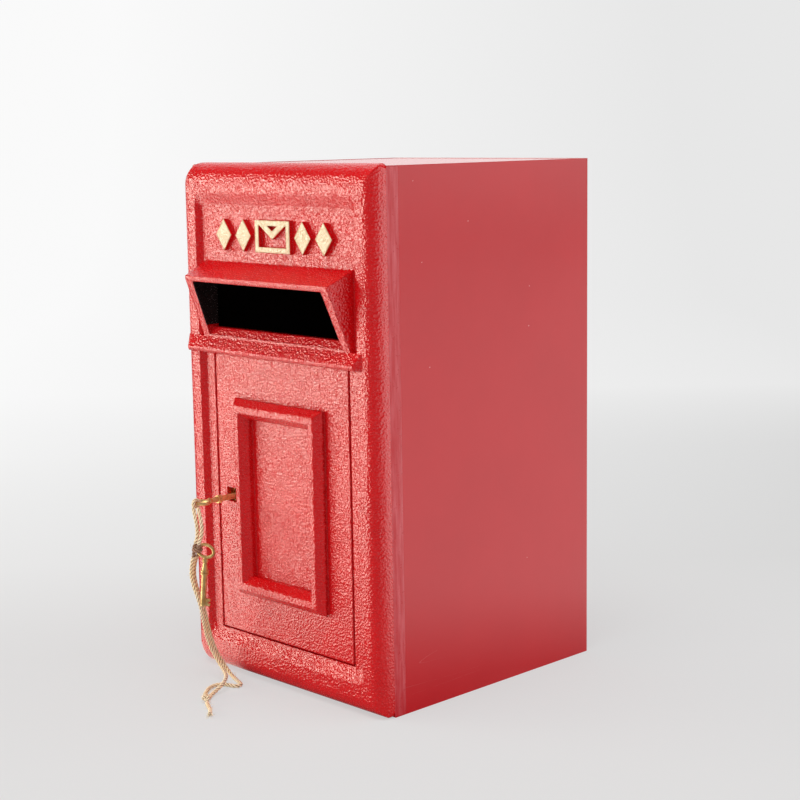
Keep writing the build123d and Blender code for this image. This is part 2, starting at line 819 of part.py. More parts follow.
def parts():
    """Every node of the box with its solid."""
    nodes = {
        "cast_front": cast_front(),
        "cast_door": cast_door(),
        "hinge_pin_bottom": hinge_pin(low_lug_top - lug_height, door_low + knuckle_height),
        "hinge_pin_top": hinge_pin(door_high - knuckle_height, high_lug_foot + lug_height),
        "hinge_washers": hinge_washers(),
        "case_wrap": case_wrap(),
        "case_floor": tray(0.0, tray_flange + sheet),
        "case_top": tray(case_height - tray_drop, case_height - tray_drop - tray_flange - sheet),
        "front_screws": front_screws(),
        "front_washers": front_washers(),
        "seam_sealant": seam_sealant(),
        "lock_face": lock_face(),
        "lock_body": lock_body(),
        "lock_screws": lock_screws(),
        "lock_plug": lock_plug(),
        "drill_pin": drill_pin(),
        "lock_cam": lock_cam(),
        "cam_washer": cam_washer(),
        "cam_screw": cam_screw(),
        "key_in_lock": key_place * key(),
        "key_hitch": Pos(*hitch_centre) * Rot(0, 90, 0) * hitch(hitch_radius),
        "spare_key": spare_plane() * key(),
        "spare_hitch": Plane(origin=spare_hitch_centre, z_dir=spare_plane().y_dir) * hitch(hitch_radius),
        "twine_knot": twine_knot(),
    }
    for name in twine_routes:
        nodes[name] = strand(name)
    return nodes


os.makedirs("parts", exist_ok=True)
for node, shape in parts().items():
    export_step(shape, f"parts/{node}.step")
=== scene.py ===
import json
import math
import random

import bpy
from mathutils import Matrix, Vector


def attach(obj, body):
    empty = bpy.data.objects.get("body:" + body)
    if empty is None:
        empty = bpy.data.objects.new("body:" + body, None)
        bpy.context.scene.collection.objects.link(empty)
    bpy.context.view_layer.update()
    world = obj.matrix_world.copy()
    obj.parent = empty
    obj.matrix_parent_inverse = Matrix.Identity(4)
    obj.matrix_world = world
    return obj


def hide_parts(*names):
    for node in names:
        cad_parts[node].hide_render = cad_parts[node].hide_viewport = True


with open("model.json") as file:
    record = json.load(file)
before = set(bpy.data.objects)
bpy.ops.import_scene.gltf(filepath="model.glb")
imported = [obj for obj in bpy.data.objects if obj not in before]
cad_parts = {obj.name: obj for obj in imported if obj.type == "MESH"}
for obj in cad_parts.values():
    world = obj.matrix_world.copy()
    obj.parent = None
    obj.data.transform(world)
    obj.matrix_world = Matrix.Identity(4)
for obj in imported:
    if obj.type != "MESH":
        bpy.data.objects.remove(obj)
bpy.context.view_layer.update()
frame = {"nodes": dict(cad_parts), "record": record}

MM = 0.001
UP = Vector((0, 0, 1))


# Camera: the photograph's viewpoint, worked out from the box's corners

CAMERA_PLACE = (1.08315, -1.04213, 0.47860)
CAMERA_YAW = 0.79774
CAMERA_PITCH = 0.15909
CAMERA_ROLL = -0.01615
CAMERA_LENS = 76.23
CAMERA_SENSOR = 36
CAMERA_REACH = 50


def make_camera():
    data = bpy.data.cameras.new("camera")
    data.lens = CAMERA_LENS
    data.sensor_width = CAMERA_SENSOR
    data.clip_end = CAMERA_REACH
    camera = bpy.data.objects.new("camera", data)
    turn = Matrix.Rotation(CAMERA_YAW, 4, "Z")
    turn = turn @ Matrix.Rotation(math.pi / 2 - CAMERA_PITCH, 4, "X") @ Matrix.Rotation(CAMERA_ROLL, 4, "Z")
    camera.matrix_world = Matrix.Translation(CAMERA_PLACE) @ turn
    bpy.context.collection.objects.link(camera)
    bpy.context.scene.camera = camera


# Node helpers


class Nodes:
    """Short ways to add nodes to a tree and to join them."""

    def __init__(self, tree):
        self.tree = tree

    def add(self, kind, inputs=None, **settings):
        node = self.tree.nodes.new(kind)
        for name, value in settings.items():
            setattr(node, name, value)
        for name, value in (inputs or {}).items():
            self.feed(node, name, value)
        return node

    def feed(self, node, name, value):
        if isinstance(value, bpy.types.NodeSocket):
            self.tree.links.new(value, node.inputs[name])
        else:
            node.inputs[name].default_value = value

    def spread(self, value, low, high, to_low=0.0, to_high=1.0):
        inputs = {"Value": value, "From Min": low, "From Max": high, "To Min": to_low, "To Max": to_high}
        return self.add("ShaderNodeMapRange", inputs).outputs["Result"]

    def math(self, operation, a, b=0.0):
        return self.add("ShaderNodeMath", {0: a, 1: b}, operation=operation).outputs[0]


class Surface(Nodes):
    """The nodes of a new material. Its textures use the piece's own coordinates, in metres."""

    def __init__(self, name):
        self.material = bpy.data.materials.new(name)
        self.material.use_nodes = True
        super().__init__(self.material.node_tree)
        self.shader = self.tree.nodes["Principled BSDF"]
        self.place = self.add("ShaderNodeTexCoord").outputs["Object"]

    def stretched(self, scale):
        return self.add("ShaderNodeMapping", {"Vector": self.place, "Scale": scale}).outputs["Vector"]

    def noise(self, scale, detail=3.0, rough=0.5, vector=None, distortion=0.0):
        inputs = {
            "Vector": vector or self.place, "Scale": scale, "Detail": detail, "Roughness": rough,
            "Distortion": distortion,
        }
        return self.add("ShaderNodeTexNoise", inputs).outputs["Fac"]

    def cells(self, scale):
        return self.add("ShaderNodeTexVoronoi", {"Vector": self.place, "Scale": scale}).outputs["Distance"]

    def mix(self, factor, a, b):
        return self.add("ShaderNodeMix", {0: factor, 6: a, 7: b}, data_type="RGBA").outputs[2]

    def bump(self, height, distance, strength=1.0, normal=None):
        inputs = {"Height": height, "Distance": distance, "Strength": strength}
        if normal:
            inputs["Normal"] = normal
        return self.add("ShaderNodeBump", inputs).outputs["Normal"]

    def rounded(self, radius, samples):
        """A normal that makes sharp edges look rounded."""
        return self.add("ShaderNodeBevel", {"Radius": radius}, samples=samples).outputs[0]

    def within(self, axis, low, high):
        """1 where the piece's own coordinate on that axis lies between two values."""
        parts = self.add("ShaderNodeSeparateXYZ", {0: self.place}).outputs
        above = self.math("GREATER_THAN", parts[axis], low)
        below = self.math("LESS_THAN", parts[axis], high)
        return self.math("MULTIPLY", above, below)

    def enclosed(self, low, high):
        """1 inside the box between two corners."""
        inside = self.within(0, low[0], high[0])
        for axis in (1, 2):
            inside = self.math("MULTIPLY", inside, self.within(axis, low[axis], high[axis]))
        return inside

    def finish(self, **inputs):
        for name, value in inputs.items():
            self.feed(self.shader, name.replace("_", " "), value)
        return self.material


def colour(red, green, blue):
    """A linear colour from the 0 to 255 numbers of a picture."""
    def linear(value):
        share = value / 255
        return share / 12.92 if share <= 0.04045 else ((share + 0.055) / 1.055) ** 2.4
    return (linear(red), linear(green), linear(blue), 1.0)


# Paint and metal

# Near-black painted shade for the insides
INSIDE_SHADE = colour(36, 26, 26)

# The raised faces of the sign, which are cream
SIGN_LOW = (-80.0 * MM, -131.3 * MM, 377.0 * MM)
SIGN_HIGH = (80.0 * MM, -130.7 * MM, 405.0 * MM)

# The casing's inside, the room behind the casting's plate and the slot's inner faces are painted near-black,
# as painted shade
CASING_LOW = (-122.0 * MM, -115.6 * MM, 1.0 * MM)
CASING_HIGH = (122.0 * MM, 131.0 * MM, 449.0 * MM)
CAVITY_LOW = (-116.2 * MM, -122.3 * MM, 6.8 * MM)
CAVITY_HIGH = (116.2 * MM, -100.0 * MM, 445.2 * MM)
SLOT_LOW = (-90.0 * MM, -151.0 * MM, 312.0 * MM)
SLOT_HIGH = (90.0 * MM, -121.0 * MM, 366.0 * MM)

# The slot's half width and the height of its roof at its mouth, and how much each grows with the way inwards
SLOT_MOUTH = -153.0 * MM
SLOT_HALF_WIDTH = 82.7 * MM
SLOT_HALF_WIDTH_GROWS = 0.1667
SLOT_ROOF = 353.2 * MM
SLOT_ROOF_GROWS = 0.4423


def in_slot(n):
    """1 on the slot's inner faces."""
    parts = n.add("ShaderNodeSeparateXYZ", {0: n.place}).outputs
    inward = n.math("SUBTRACT", parts[1], SLOT_MOUTH)
    grown = n.math("MULTIPLY", inward, SLOT_HALF_WIDTH_GROWS)
    across = n.math("SUBTRACT", n.math("ABSOLUTE", parts[0]), grown)
    height = n.math("SUBTRACT", parts[2], n.math("MULTIPLY", inward, SLOT_ROOF_GROWS))
    between = n.math("LESS_THAN", across, SLOT_HALF_WIDTH)
    below = n.math("LESS_THAN", height, SLOT_ROOF)
    return n.math("MULTIPLY", n.enclosed(SLOT_LOW, SLOT_HIGH), n.math("MULTIPLY", between, below))


def cast_paint():
    """Gloss enamel over a sand casting: orange peel, small pits, pale paint on the raised sign, and
    near-black painted shade in the slot and behind the plate.
    """
    n = Surface("cast_paint")
    swell = n.noise(45, 2, 0.5)
    lumps = n.noise(420, 2, 0.6)
    peel = n.noise(900, 2, 0.6)
    grains = n.cells(500)
    gloss = n.spread(peel, 0.3, 0.7, 0.15, 0.25)
    pits = n.spread(grains, 0.08, 0.3, 0.5, 0.15)
    tone = n.spread(n.noise(26, 4, 0.6), 0.3, 0.75)
    red = n.mix(tone, colour(218, 13, 19), colour(206, 8, 15))
    cream = n.mix(tone, colour(240, 216, 172), colour(230, 200, 156))
    normal = n.bump(swell, 1.0 * MM, 0.5, n.rounded(2.2 * MM, 8))
    for height, distance in ((lumps, 0.45), (grains, 0.55), (peel, 0.16)):
        normal = n.bump(height, distance * MM, 1.0, normal)
    outside = n.mix(n.enclosed(SIGN_LOW, SIGN_HIGH), red, cream)
    # Painted shade: the room behind the plate and the slot's inner faces are painted near-black
    dark = n.math("MAXIMUM", n.enclosed(CAVITY_LOW, CAVITY_HIGH), in_slot(n))
    return n.finish(
        Base_Color=n.mix(dark, outside, INSIDE_SHADE), Roughness=n.math("MAXIMUM", gloss, pits), Normal=normal,
        Specular_IOR_Level=1.0,
    )


def sheet_paint():
    """Semi-gloss paint on folded sheet, with faint waves, specks, a few fine scratches, and near-black
    painted shade on the inside.
    """
    n = Surface("sheet_paint")
    wave = n.noise(9, 2, 0.5)
    grain = n.noise(1100, 3, 0.6)
    tone = n.spread(n.noise(7, 5, 0.6), 0.3, 0.7)
    red = n.mix(tone, colour(198, 25, 33), colour(190, 21, 29))
    speck = n.math("LESS_THAN", n.cells(42), 0.024)
    scratch_line = n.noise(60, 2, 0.4, n.stretched((1.0, 0.06, 1.4)), 0.6)
    off_middle = n.math("ABSOLUTE", n.math("SUBTRACT", scratch_line, 0.5))
    scratch_place = n.math("GREATER_THAN", n.noise(11, 2, 0.5), 0.68)
    scratch = n.math("MULTIPLY", n.math("LESS_THAN", off_middle, 0.0015), scratch_place)
    worn = n.math("MAXIMUM", n.math("MULTIPLY", speck, 0.6), n.math("MULTIPLY", scratch, 0.25))
    outside = n.mix(worn, red, colour(226, 150, 150))
    return n.finish(
        # Painted shade: the casing's inside is painted near-black
        Base_Color=n.mix(n.enclosed(CASING_LOW, CASING_HIGH), outside, INSIDE_SHADE),
        Roughness=n.spread(grain, 0.2, 0.8, 0.17, 0.25),
        Normal=n.bump(grain, 0.02 * MM, 0.5, n.bump(wave, 2.0 * MM, 0.25)), Specular_IOR_Level=0.5,
    )


def metal(name, base, worn, rough, grain_scale, streak=(1.0, 1.0, 1.0), metallic=1.0):
    """A metal with fine marks, stains and a roughness that varies."""
    n = Surface(name)
    grain = n.noise(grain_scale, 4, 0.6, n.stretched(streak))
    stain = n.spread(n.noise(160, 4, 0.6), 0.4, 0.75)
    return n.finish(
        Base_Color=n.mix(stain, base, worn), Metallic=metallic,
        Roughness=n.spread(grain, 0.2, 0.8, rough, rough + 0.2),
        Normal=n.bump(grain, 0.04 * MM, 0.6, n.rounded(0.3 * MM, 4)),
    )


def lock_case():
    """Dark cast housing with a mottled, slightly rough skin."""
    n = Surface("lock_case")
    grain = n.noise(700, 3, 0.6)
    return n.finish(
        Base_Color=n.mix(n.spread(n.noise(90), 0.3, 0.7), colour(38, 36, 36), colour(58, 54, 50)),
        Roughness=n.spread(grain, 0.2, 0.8, 0.35, 0.6), Normal=n.bump(grain, 0.1 * MM, 0.6),
    )


def sealant():
    """Paste brushed along the joint and painted over."""
    n = Surface("sealant")
    drag = n.noise(60, 4, 0.6, n.stretched((1.0, 6.0, 0.5)))
    lump = n.noise(240, 3, 0.6)
    return n.finish(
        Base_Color=n.mix(n.spread(drag, 0.4, 0.75), colour(190, 24, 34), colour(212, 92, 98)),
        Roughness=n.spread(lump, 0.2, 0.8, 0.22, 0.42), Normal=n.bump(lump, 0.3 * MM, 0.7),
    )


# Where the twine holds the spare key it is painted darker and redder, as painted shade and a painted
# reflection of the red box
SPARE_SHADE_LOW = (-75.0 * MM, -182.0 * MM, 114.5 * MM)
SPARE_SHADE_HIGH = (-54.0 * MM, -162.0 * MM, 127.0 * MM)
SPARE_SHADE_SHARE = 0.8

# A fibre's distance from the middle of its strand, as a share of the strand's radius. Between the first two
# shares the creases between plies are painted brown as painted shade. On loose hairs it is near 0, and they
# have no groove.
GROOVE_FLOOR = 0.6
GROOVE_TOP = 0.82
HAIR_DEPTH = 0.1


def twine_fibre():
    """Jute: pale tan fibres along each ply, painted brown in the grooves as shade, and painted shade with a
    red reflection at the spare key's hitch.
    """
    n = Surface("twine_fibre")
    along = n.add("ShaderNodeUVMap", uv_map="along").outputs[0]
    lines = n.add("ShaderNodeMapping", {"Vector": along, "Scale": (260.0, 14.0, 1.0)}).outputs[0]
    fibre = n.noise(1.0, 4, 0.7, lines)
    patch = n.noise(55, 3, 0.6)
    pale = n.mix(n.spread(patch, 0.3, 0.7), colour(255, 242, 212), colour(255, 226, 176))
    strands = n.mix(n.spread(fibre, 0.5, 0.8), pale, colour(190, 136, 92))
    out = n.add("ShaderNodeUVMap", uv_map="depth").outputs[0]
    depth = n.add("ShaderNodeSeparateXYZ", {0: out}).outputs[0]
    # Painted shade: the nearer a point lies to the middle of its strand, the browner it is painted
    deep = n.spread(depth, GROOVE_FLOOR, GROOVE_TOP, 1.0, 0.0)
    groove = n.math("MULTIPLY", deep, n.math("GREATER_THAN", depth, HAIR_DEPTH))
    strands = n.mix(groove, strands, colour(150, 88, 48))
    # Painted shade and painted red reflection at the spare key's hitch
    spare_shade = n.math("MULTIPLY", n.enclosed(SPARE_SHADE_LOW, SPARE_SHADE_HIGH), SPARE_SHADE_SHARE)
    return n.finish(
        Base_Color=n.mix(spare_shade, strands, colour(132, 66, 40)), Roughness=0.85,
        Sheen_Weight=0.3, Sheen_Roughness=0.5, Normal=n.bump(fibre, 0.15 * MM, 0.9),
    )


def finish_cad_nodes():
    """Every CAD node takes the finish of its slot."""
    finishes = {
        "cast_paint": cast_paint(),
        "sheet_paint": sheet_paint(),
        "sealant": sealant(),
        "steel": metal("steel", colour(170, 170, 172), colour(120, 116, 112), 0.25, 900, (1, 1, 12)),
        "zinc": metal("zinc", colour(196, 196, 190), colour(150, 148, 138), 0.32, 600),
        "lock_case": lock_case(),
        "brass": metal("brass", colour(212, 176, 104), colour(150, 112, 60), 0.25, 700),
        "key_brass": metal("key_brass", colour(255, 226, 158), colour(206, 158, 92), 0.42, 800, metallic=0.7),
        "twine": twine_fibre(),
    }
    slots = {part["node"]: part["material_slot"] for part in frame["record"]["subparts"]}
    for name, node in frame["nodes"].items():
        node.data.materials.clear()
        node.data.materials.append(finishes[slots[name]])
    return finishes


# Twine: routes are in millimetres

TWINE = 3.6 * MM
PLIES = 3
PLY_SIDES = 8
PLY_PITCH = 11.0 * MM
PLY_STEP = 0.7 * MM

# A ply's radius, as a share of its strand's
PLY_SHARE = 0.45

UPPER_LEFT = [
    (-65.2, -172.6, 156.1), (-62.4, -173.4, 150.0), (-60.8, -172.8, 142.0), (-61.2, -172.6, 133.5),
    (-63.6, -173.1, 126.6),
]
UPPER_RIGHT = [
    (-60.2, -171.6, 158.2), (-55.8, -173.2, 152.0), (-53.4, -173.4, 144.0), (-53.8, -174.0, 135.0),
    (-58.0, -174.7, 126.2),
]
THROUGH_LEFT = [(-65.0, -174.6, 121.8)]
THROUGH_RIGHT = [(-61.4, -171.2, 121.4)]
LOWER_LEFT = [
    (-65.6, -173.4, 117.2), (-67.2, -174.8, 110.4), (-69.9, -174.6, 97.4), (-67.0, -173.0, 84.1),
    (-64.2, -169.4, 70.0), (-68.6, -163.4, 52.0), (-73.0, -156.0, 33.0), (-71.2, -150.2, 18.7),
    (-59.3, -151.9, 11.2), (-46.6, -157.8, 9.4), (-37.0, -165.8, 8.8), (-32.4, -174.2, 6.4),
    (-31.8, -182.2, 2.8), (-28.8, -189.2, 1.8), (-24.6, -194.2, 1.8),
]
LOWER_RIGHT = [
    (-66.2, -168.6, 117.0), (-70.9, -169.9, 106.6), (-72.0, -169.6, 94.2), (-68.9, -168.0, 80.9),
    (-66.3, -164.2, 67.1), (-69.6, -158.4, 49.7), (-73.5, -151.2, 31.8), (-72.8, -145.4, 17.7),
    (-67.9, -141.9, 8.0), (-61.0, -141.8, 2.9), (-51.8, -144.8, 1.8), (-42.6, -148.6, 1.8),
    (-36.2, -150.4, 1.8), (-31.6, -153.4, 1.8), (-31.9, -158.0, 1.8), (-37.2, -160.4, 1.8),
    (-43.0, -161.4, 1.8), (-47.8, -166.6, 1.8), (-46.8, -176.2, 1.8), (-38.6, -187.2, 1.8),
    (-27.6, -197.2, 1.8),
]
TAIL = [
    (-17.2, -202.4, 1.8), (-10.4, -206.4, 1.8), (-0.6, -211.6, 1.8), (6.6, -217.8, 1.8),
]


def spline_points(points):
    """Close points along the smooth line of a route, in metres."""
    curve = bpy.data.curves.new("route", "CURVE")
    curve.dimensions = "3D"
    curve.resolution_u = 12
    spline = curve.splines.new("NURBS")
    spline.points.add(len(points) - 1)
    for point, place in zip(spline.points, points):
        point.co = (*(Vector(place) * MM), 1.0)
    spline.order_u = 3
    spline.use_endpoint_u = True
    holder = bpy.data.objects.new("route", curve)
    bpy.context.collection.objects.link(holder)
    bpy.context.view_layer.update()
    mesh = bpy.data.meshes.new_from_object(holder)
    line = [vertex.co.copy() for vertex in mesh.vertices]
    bpy.data.objects.remove(holder)
    bpy.data.curves.remove(curve)
    bpy.data.meshes.remove(mesh)
    return line


def even_steps(line, step):
    """The same line in even steps, and its length."""
    lengths = [0.0]
    for a, b in zip(line, line[1:]):
        lengths.append(lengths[-1] + (b - a).length)
    count = max(4, round(lengths[-1] / step))
    result = []
    seat = 0
    for index in range(count + 1):
        want = lengths[-1] * index / count
        while seat < len(line) - 2 and lengths[seat + 1] < want:
            seat += 1
        run = lengths[seat + 1] - lengths[seat]
        result.append(line[seat].lerp(line[seat + 1], (want - lengths[seat]) / run if run else 0.0))
    return result, lengths[-1]


def sides_along(line):
    """Two directions square to the line at each of its points, which turn as little as they can."""
    tangents = [(b - a).normalized() for a, b in zip(line, line[1:])]
    tangents.append(tangents[-1])
    side = tangents[0].orthogonal().normalized()
    pairs = []
    for tangent in tangents:
        side = (side - tangent * side.dot(tangent)).normalized()
        pairs.append((side, tangent.cross(side)))
    return pairs


def on_body(piece, body):
    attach(piece, body)
    return piece


class Shape:
    """A mesh in the making. A point's marks are its run along a line, turn round it and distance from it."""

    def __init__(self):
        self.verts, self.faces, self.marks = [], [], []

    def add_tube(self, line, radii, sides, core=None, unit=1.0):
        """A closed tube of changing radius along a line. Distances are from the core's line, in that unit."""
        start = len(self.verts)
        run = 0.0
        for index, (point, (side, other), radius) in enumerate(zip(line, sides_along(line), radii)):
            middle = core[index] if core else line[0]
            if index:
                run += (point - line[index - 1]).length
            for corner in range(sides):
                angle = 2 * math.pi * corner / sides
                place = point + side * (radius * math.cos(angle)) + other * (radius * math.sin(angle))
                self.verts.append(place)
                self.marks.append((run, corner / sides, (place - middle).length / unit))
        for index in range(len(line) - 1):
            for corner in range(sides):
                a = start + index * sides + corner
                b = start + index * sides + (corner + 1) % sides
                self.faces.append((a, b, b + sides, a + sides))
        last = start + (len(line) - 1) * sides
        self.faces.append(tuple(start + corner for corner in reversed(range(sides))))
        self.faces.append(tuple(last + corner for corner in range(sides)))

    def add_plies(self, line, radius, opening=lambda share: 1.0):
        """Plies wound round a line. The opening moves them apart, by the share of the line that is behind."""
        ply_radius = radius * PLY_SHARE
        for ply in range(PLIES):
            wound = []
            run = 0.0
            for index, (point, (side, other)) in enumerate(zip(line, sides_along(line))):
                if index:
                    run += (point - line[index - 1]).length
                angle = 2 * math.pi * (run / PLY_PITCH + ply / PLIES)
                offset = (radius - ply_radius) * opening(index / (len(line) - 1))
                wound.append(point + (side * math.cos(angle) + other * math.sin(angle)) * offset)
            self.add_tube(wound, [ply_radius] * len(wound), PLY_SIDES, line, radius)

    def make(self, name, body, material):
        """The piece, with its marks as the UV maps that twine_fibre reads."""
        mesh = bpy.data.meshes.new(name)
        mesh.from_pydata(self.verts, [], self.faces)
        along = mesh.uv_layers.new(name="along")
        depth = mesh.uv_layers.new(name="depth")
        for loop in mesh.loops:
            run, turn, out = self.marks[loop.vertex_index]
            along.data[loop.index].uv = (run, turn)
            depth.data[loop.index].uv = (out, 0.0)
        mesh.polygons.foreach_set("use_smooth", [len(p.vertices) == 4 for p in mesh.polygons])
        mesh.materials.append(material)
        mesh.update()
        piece = bpy.data.objects.new(name, mesh)
        bpy.context.collection.objects.link(piece)
        return on_body(piece, body)


def make_strand(name, body, line, material, radius=TWINE / 2):
    shape = Shape()
    shape.add_plies(line, radius)
    return shape.make(name, body, material)


# Each piece of loose hairs: how many, how long and the seed of their angles
HAIRS = {
    "knot_hairs": (60, 3.6 * MM, 21),
    "hairs_left": (170, 3.4 * MM, 13),
    "hairs_right": (210, 3.4 * MM, 14),
    "tail_hairs": (30, 3.4 * MM, 31),
    "key_hitch_hairs": (16, 3.0 * MM, 41),
    "spare_hitch_hairs": (16, 3.0 * MM, 42),
}
HAIR_THICKNESS = 0.09 * MM
HAIR_STAND_OFF = TWINE * 0.3
HAIR_FLOOR = 0.2 * MM

# Each hair's own size lies between these shares of the length
HAIR_SIZES = (0.5, 1.1)

HAIR_INPUTS = (
    ("Hairs", "NodeSocketInt"), ("Length", "NodeSocketFloat"), ("Thickness", "NodeSocketFloat"),
    ("Stand Off", "NodeSocketFloat"), ("Seed", "NodeSocketInt"),
)


def hair_tree(material):
    """Geometry nodes: curved hairs set at random angles along a line, never below the floor."""
    tree = bpy.data.node_groups.new("loose_hairs", "GeometryNodeTree")
    face = tree.interface
    face.new_socket("Geometry", in_out="INPUT", socket_type="NodeSocketGeometry")
    ids = {}
    for name, kind in HAIR_INPUTS:
        ids[name] = face.new_socket(name, in_out="INPUT", socket_type=kind).identifier
    face.new_socket("Geometry", in_out="OUTPUT", socket_type="NodeSocketGeometry")
    n = Nodes(tree)
    given = n.add("NodeGroupInput").outputs
    length, stand_off, seed = given["Length"], given["Stand Off"], given["Seed"]
    line = n.add("GeometryNodeMeshToCurve", {0: given["Geometry"]}).outputs[0]
    roots = n.add("GeometryNodeResampleCurve", {"Curve": line, "Count": given["Hairs"]}).outputs[0]
    start = n.add("ShaderNodeCombineXYZ", {"X": stand_off}).outputs[0]
    middle = n.add("ShaderNodeCombineXYZ", {"X": length, "Y": stand_off}).outputs[0]
    end = n.add("ShaderNodeCombineXYZ", {"X": length, "Z": length}).outputs[0]
    inputs = {"Resolution": 5, "Start": start, "Middle": middle, "End": end}
    arc = n.add("GeometryNodeCurveQuadraticBezier", inputs).outputs[0]
    inputs = {"Resolution": 3, "Radius": given["Thickness"]}
    ring = n.add("GeometryNodeCurvePrimitiveCircle", inputs).outputs[0]
    hair = n.add("GeometryNodeCurveToMesh", {"Curve": arc, "Profile Curve": ring}).outputs[0]
    inputs = {0: (-math.pi,) * 3, 1: (math.pi,) * 3, "Seed": seed}
    angles = n.add("FunctionNodeRandomValue", inputs, data_type="FLOAT_VECTOR").outputs[0]
    inputs = {2: HAIR_SIZES[0], 3: HAIR_SIZES[1], "Seed": seed}
    size = n.add("FunctionNodeRandomValue", inputs, data_type="FLOAT").outputs[1]
    inputs = {"Points": roots, "Instance": hair, "Rotation": angles, "Scale": size}
    placed = n.add("GeometryNodeInstanceOnPoints", inputs).outputs[0]
    real = n.add("GeometryNodeRealizeInstances", {0: placed}).outputs[0]
    parts = n.add("ShaderNodeSeparateXYZ", {0: n.add("GeometryNodeInputPosition").outputs[0]}).outputs
    height = n.math("MAXIMUM", parts[2], HAIR_FLOOR)
    place = n.add("ShaderNodeCombineXYZ", {0: parts[0], 1: parts[1], 2: height}).outputs[0]
    kept = n.add("GeometryNodeSetPosition", {"Geometry": real, "Position": place}).outputs[0]
    painted = n.add("GeometryNodeSetMaterial", {"Geometry": kept, "Material": material}).outputs[0]
    n.add("NodeGroupOutput", {0: painted})
    return tree, ids


def make_hairs(name, body, line, tree, ids):
    """A piece of loose hairs along a line, as a plain mesh."""
    mesh = bpy.data.meshes.new(name)
    mesh.from_pydata(line, [(index, index + 1) for index in range(len(line) - 1)], [])
    piece = bpy.data.objects.new(name, mesh)
    bpy.context.collection.objects.link(piece)
    modifier = piece.modifiers.new("hairs", "NODES")
    modifier.node_group = tree
    count, length, seed = HAIRS[name]
    for (key, _), value in zip(HAIR_INPUTS, (count, length, HAIR_THICKNESS, HAIR_STAND_OFF, seed)):
        modifier[ids[key]] = value
    evaluated = piece.evaluated_get(bpy.context.evaluated_depsgraph_get())
    piece.data = bpy.data.meshes.new_from_object(evaluated)
    piece.modifiers.remove(modifier)
    return on_body(piece, body)


KEY_HITCH_CENTRE = Vector((-66.0, -169.0, 161.0)) * MM
SPARE_HITCH_CENTRE = Vector((-62.5, -172.0, 121.4)) * MM
SPARE_LEAN = math.radians(5.0)
SPARE_TURN = math.radians(25.0)


def make_twine(material):
    hairs = hair_tree(material)
    knot, knot_line = overhand_knot(material)
    make_hairs("knot_hairs", "twine", knot_line, *hairs)
    routes = {
        "left": UPPER_LEFT + THROUGH_LEFT + LOWER_LEFT,
        "right": UPPER_RIGHT + THROUGH_RIGHT + LOWER_RIGHT,
    }
    for side, points in routes.items():
        line, length = even_steps(spline_points(points), PLY_STEP)
        piece = make_strand(f"strand_{side}", "twine", line, material)
        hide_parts(f"twine_upper_{side}", f"twine_lower_{side}")
        loose = make_hairs(f"hairs_{side}", "twine", line, *hairs)
    make_hairs("tail_hairs", "twine", make_tail(material), *hairs)
    turns = hitch_line(KEY_HITCH_CENTRE, Vector((1, 0, 0)), UP, Vector(UPPER_LEFT[0]) * MM)
    make_hitch("hitch_on_key", "key", turns, "key_hitch", material)
    make_hairs("key_hitch_hairs", "key", turns, *hairs)
    across, down = spare_directions()
    turns = hitch_line(SPARE_HITCH_CENTRE, down, across)
    make_hitch("hitch_on_spare_key", "spare", turns, "spare_hitch", material)
    make_hairs("spare_hitch_hairs", "spare", turns, *hairs)


def spare_directions():
    """The spare key's own directions: towards its hitch, and down its shank."""
    level = Vector((math.cos(SPARE_TURN), math.sin(SPARE_TURN), 0.0))
    across = -level * math.cos(SPARE_LEAN) + UP * math.sin(SPARE_LEAN)
    down = -level * math.sin(SPARE_LEAN) - UP * math.cos(SPARE_LEAN)
    return across, down


HITCH_RADIUS = 3.25 * MM
HITCH_TURNS = 1.9
HITCH_WIDTH = 1.5 * MM
HITCH_DRAWN_IN = 0.1
HITCH_STEPS = 90


def hitch_line(centre, axis, start, meets=None):
    """Two turns round a key's bow, side by side. With a place to meet, the last one leaves the bow for it."""
    axis = axis.normalized()
    side = start.normalized()
    other = axis.cross(side)
    line = []
    for index in range(HITCH_STEPS + 1):
        share = index / HITCH_STEPS
        angle = 2 * math.pi * HITCH_TURNS * (share - 0.5)
        if meets and angle > math.pi / 2:
            line.append(meets)
            break
        radius = HITCH_RADIUS * (1.0 - HITCH_DRAWN_IN * abs(2 * share - 1))
        shift = (share - 0.5) * HITCH_WIDTH
        line.append(centre + (side * math.cos(angle) + other * math.sin(angle)) * radius + axis * shift)
    return even_steps(line, PLY_STEP)[0]


def make_hitch(name, body, line, node, material):
    piece = make_strand(name, body, line, material, TWINE * 0.46)
    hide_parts(node)


KNOT_CENTRE = Vector((-21.6, -199.6, 4.2)) * MM
KNOT_AHEAD = Vector((0.72, -0.68, 0.0)).normalized()
KNOT_SIZE = (1.3125 * MM, 0.95 * MM, 1.25 * MM)
KNOT_STEPS = 120


def overhand_knot(material):
    """The knot that joins both lengths: a trefoil drawn tight."""
    line = []
    across = UP.cross(KNOT_AHEAD)
    for index in range(KNOT_STEPS + 1):
        t = 2 * math.pi * index / KNOT_STEPS
        x = (math.sin(t) + 2 * math.sin(2 * t)) * KNOT_SIZE[0]
        y = (math.cos(t) - 2 * math.cos(2 * t)) * KNOT_SIZE[1]
        z = -math.sin(3 * t) * KNOT_SIZE[2]
        line.append(KNOT_CENTRE + KNOT_AHEAD * x + across * y + UP * z)
    line, _ = even_steps(line, PLY_STEP)
    piece = make_strand("knot", "twine", line, material, TWINE * 0.42)
    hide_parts("twine_knot")
    return piece, line


FRAY_HAIRS = 46
FRAY_STEPS = 4
FRAY_RADIUS = 0.16 * MM
FRAY_FLOOR = 0.25 * MM
FRAY_SEED = 31


